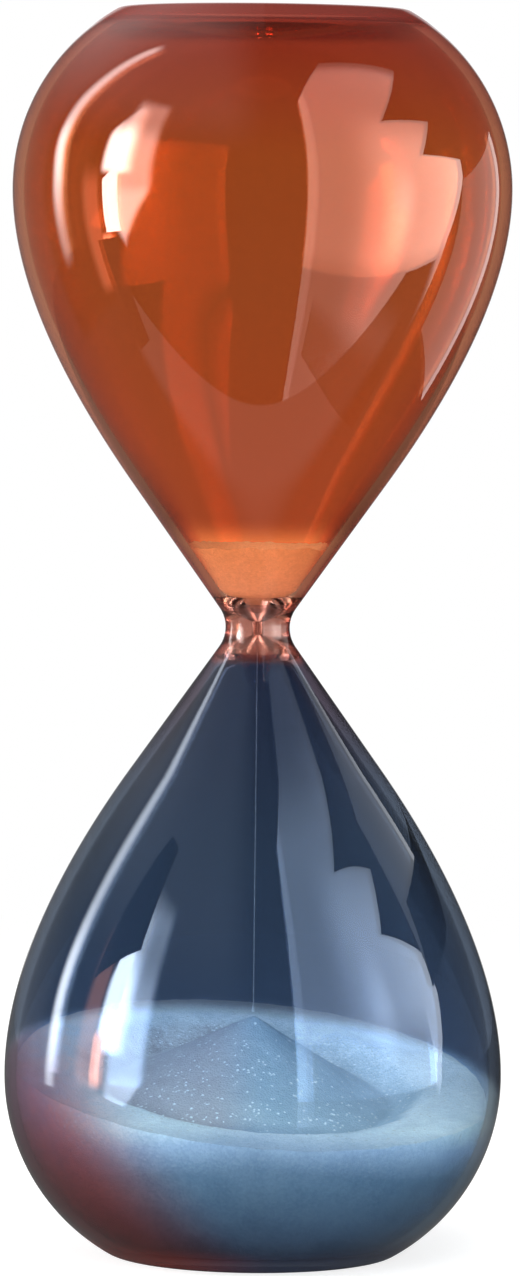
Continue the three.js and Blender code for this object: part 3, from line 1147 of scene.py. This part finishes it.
def make_warm_card():
    """Warm strip under the window, with a faint glow beside it."""
    direction = (0.226, -0.974)
    n = upright_board("warm_card", (-0.336, -0.075), direction, (
        (-0.060, -0.003), (0.046, -0.003), (0.046, 0.260), (-0.060, 0.260),
    ))
    along, height = on_upright(n, direction)
    foot = n.smooth(height, 0.0, 0.03)
    sides = n.times(n.smooth(along, 0.0, 0.014), n.smooth(along, 0.046, 0.032))
    strip = n.times(sides, n.times(foot, n.smooth(height, 0.110, 0.09)))
    beside = n.times(n.smooth(along, -0.060, -0.030, 0.0, 0.14), n.smooth(along, 0.014, 0.0))
    glow = n.times(beside, n.times(foot, n.smooth(height, 0.26, 0.18)))
    mask = n.math("MAXIMUM", strip, glow)
    shine_in_reflections(n, 34.0, colour=(1.0, 0.36, 0.20), mask=mask)


def make_bounce_card():
    """Card behind on the right, with a brighter line along its far edge."""
    direction = (-0.406, 0.914)
    n = upright_board("bounce_card", (0.1616, 0.0038), direction, (
        (0.0, 0.090), (0.0877, 0.090), (0.0877, 0.232), (0.0, 0.203),
    ))
    along, _ = on_upright(n, direction)
    shine_in_reflections(n, n.smooth(along, 0.076, 0.080, 1.1, 2.6))


def make_veils():
    """Dark boards near the glass that keep parts of the cards and the table out of one bulb.
    Some are partly clear, and a level board is there only for the rays from one side."""
    n = upright_board("low_veil", (0.109, -0.089), (0.5, 0.866), (
        (-0.075, 0.0), (0.075, 0.0), (0.075, 0.085), (-0.075, 0.085),
    ))
    *_, height = n.position()
    shine_in_reflections(n, 0.0, mask=n.smooth(height, 0.085, 0.045, 0.0, 0.6))

    n = level_board("cone_veil", 0.128, (
        (0.018, -0.072), (0.058, -0.047), (0.073, 0.012), (0.018, 0.003), (0.005, -0.018),
    ))
    _, x, y, _ = n.position()
    near_axis = n.smooth(n.hypot(x, y), 0.068, 0.030, 0.0, 0.7)
    shine_in_reflections(n, 0.0, mask=n.times(rising(n), near_axis))

    n = level_board("warm_veil", 0.115, (
        (-0.0766, -0.050), (-0.0788, -0.0389), (-0.268, -0.0554), (-0.257, -0.1087),
    ))
    shine_in_reflections(n, 0.15, mask=n.opposite(rising(n)))

    n = level_board("right_shelf", 0.089, (
        (0.162, 0.002), (0.124, 0.088), (0.045, 0.060), (0.070, -0.010),
    ))
    shine_in_reflections(n, DARKEST, mask=rising(n))
    n = level_board("left_shelf", 0.110, (
        (-0.044, -0.0325), (-0.189, -0.029), (-0.100, -0.0675), (-0.0424, -0.0398),
    ))
    shine_in_reflections(n, DARKEST, mask=rising(n))


def add_lamp(name, place, size, power):
    light = bpy.data.lights.new(name, "AREA")
    light.shape = "DISK"
    light.size = size
    light.energy = power
    lamp = bpy.data.objects.new(name, light)
    lamp.location = place
    towards = LAMP_TARGET - Vector(place)
    lamp.rotation_euler = towards.to_track_quat("-Z", "Y").to_euler()
    lamp.visible_camera = False
    lamp.visible_glossy = False
    lamp.visible_transmission = False
    bpy.context.scene.collection.objects.link(lamp)


def make_camera():
    data = bpy.data.cameras.new("camera")
    data.sensor_fit = "VERTICAL"
    data.sensor_height = SENSOR_HEIGHT
    data.lens = LENS
    camera = bpy.data.objects.new("camera", data)
    tilt = Matrix.Rotation(CAMERA_TILT, 4, "X")
    roll = Matrix.Rotation(CAMERA_ROLL, 4, "Z")
    camera.matrix_world = Matrix.Translation(CAMERA_PLACE) @ tilt @ roll
    bpy.context.scene.collection.objects.link(camera)
    bpy.context.scene.camera = camera


make_floor()
make_world()
make_side_card()
make_window_card()
make_warm_card()
make_bounce_card()
make_veils()
for lamp in LAMPS:
    add_lamp(*lamp)
make_camera()

bpy.context.scene.view_settings.view_transform = "Standard"
